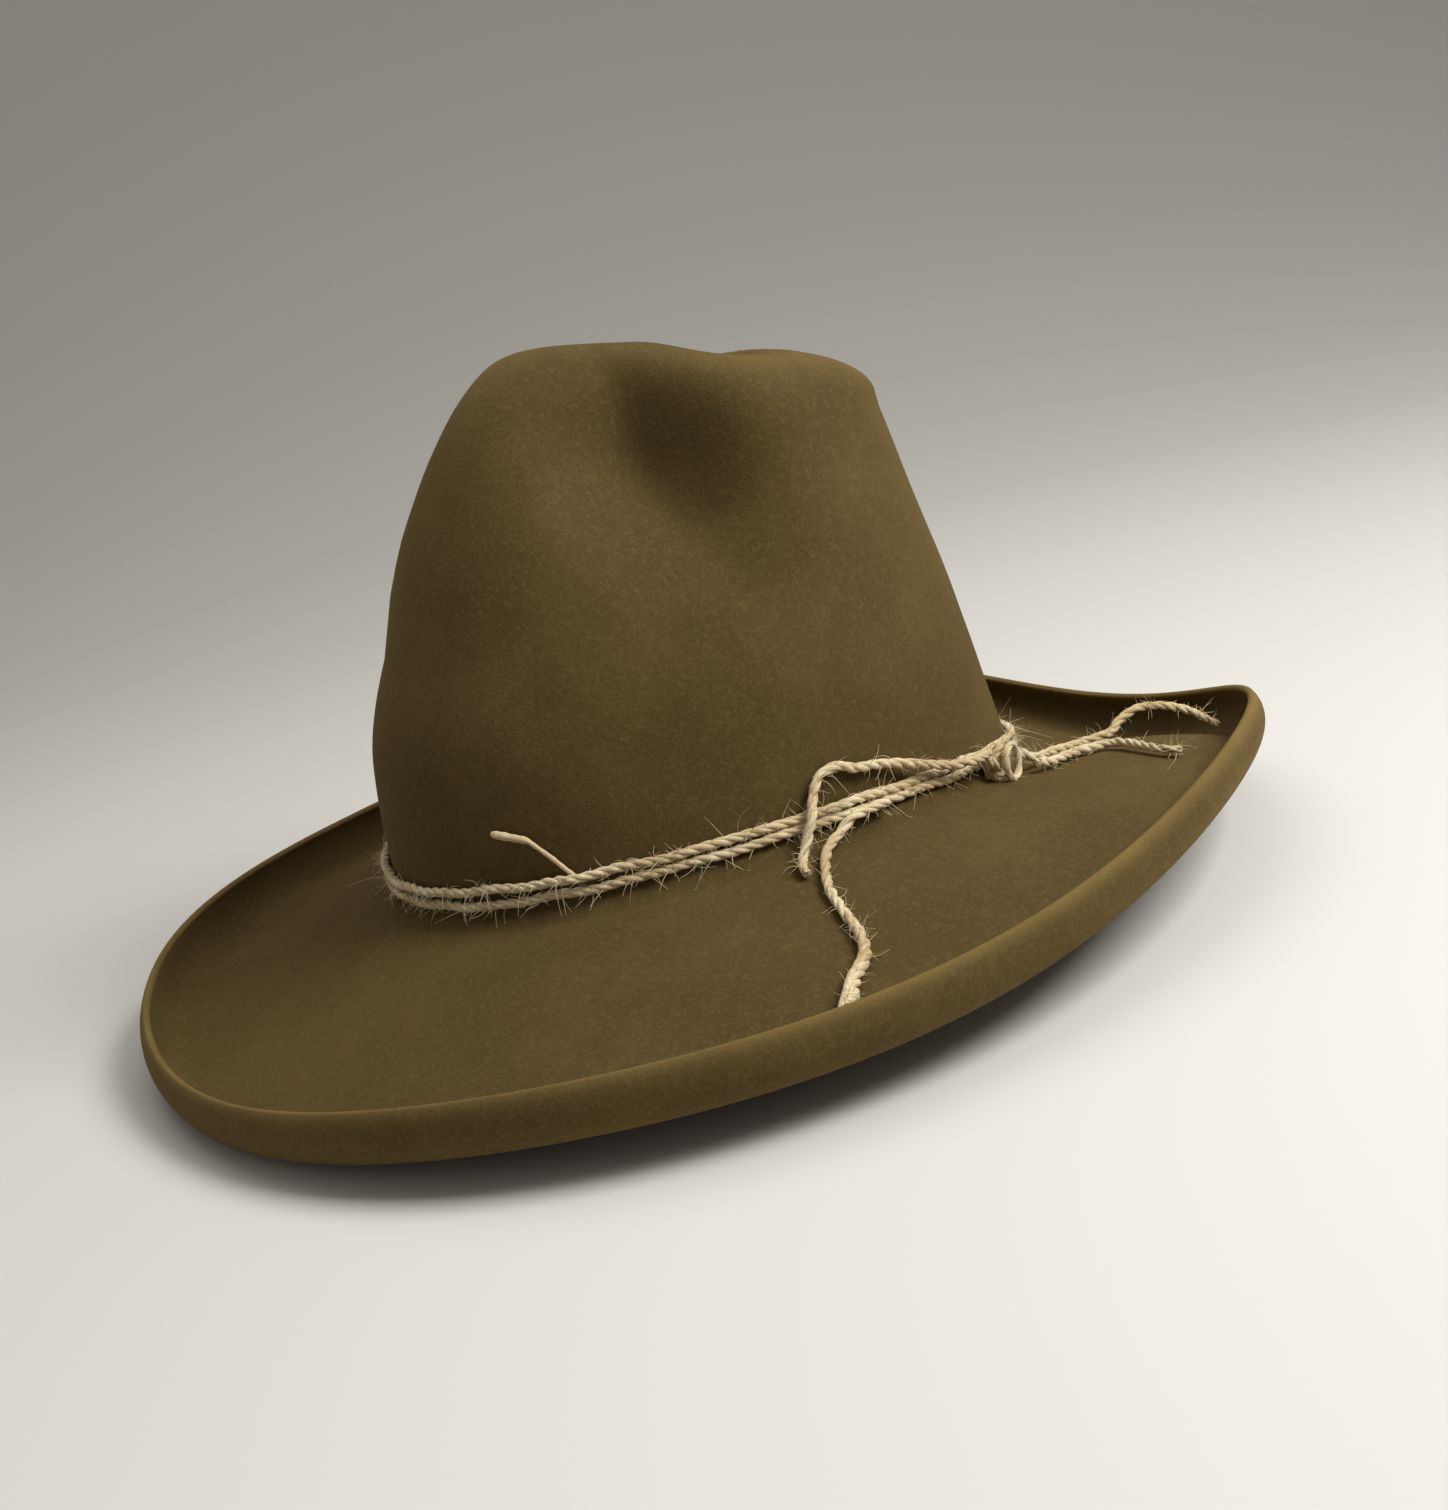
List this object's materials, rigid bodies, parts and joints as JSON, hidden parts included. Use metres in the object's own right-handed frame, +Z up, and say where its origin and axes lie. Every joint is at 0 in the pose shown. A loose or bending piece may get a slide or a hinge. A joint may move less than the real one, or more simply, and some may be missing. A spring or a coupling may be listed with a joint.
{
  "type": "cowboy hat",
  "caption": "Western felt hat with pinched, creased crown, wide brim rolled up at the edge, leather sweatband, satin liner and a rough tied twine band.",
  "frame": {"origin": "middle of the hat's box at the level the brim rests on", "axes": "+Z up through the crown, -Y to the hat's front, +X to the wearer's left"},
  "size_m": [0.3304, 0.354, 0.1784],
  "materials": {
    "felt": "wool felt, matt, short raised nap",
    "sweatband_leather": "fine grained, half matt",
    "reed_plastic": "satin",
    "bow_ribbon": "ribbed ribbon",
    "label_tape": "woven tape, blank",
    "liner_satin": "satin weave",
    "piping_satin": "satin covered cord",
    "jute_twine": "raw jute, hairy",
    "stick_wood": "bare, dry"
  },
  "bodies": {
    "hat": {"felt_body": "felt", "sweatband": "sweatband_leather", "sweatband_seam": "sweatband_leather", "sweatband_reed": "reed_plastic", "sweatband_bow": "bow_ribbon", "size_label": "label_tape", "liner_side": "liner_satin", "liner_tip": "liner_satin", "liner_piping": "piping_satin"},
    "twine_band": {"twine_turn_lower": "jute_twine", "twine_turn_upper": "jute_twine", "twine_knot": "jute_twine", "twine_loop": "jute_twine", "twine_end_a": "jute_twine", "twine_end_b": "jute_twine", "twine_end_c": "jute_twine", "twine_end_d": "jute_twine"},
    "stick": {"stick": "stick_wood"}
  },
  "joints": [
    {"name": "twine_band_lift", "type": "slide", "parent": "hat", "child": "twine_band", "axis": [0, -0.0523, 0.9986], "range_m": [0, 0.19]},
    {"name": "stick_pull", "type": "slide", "parent": "twine_band", "child": "stick", "axis": [-0.4609, -0.3808, 0.8016], "range_m": [0, 0.04]}
  ]
}
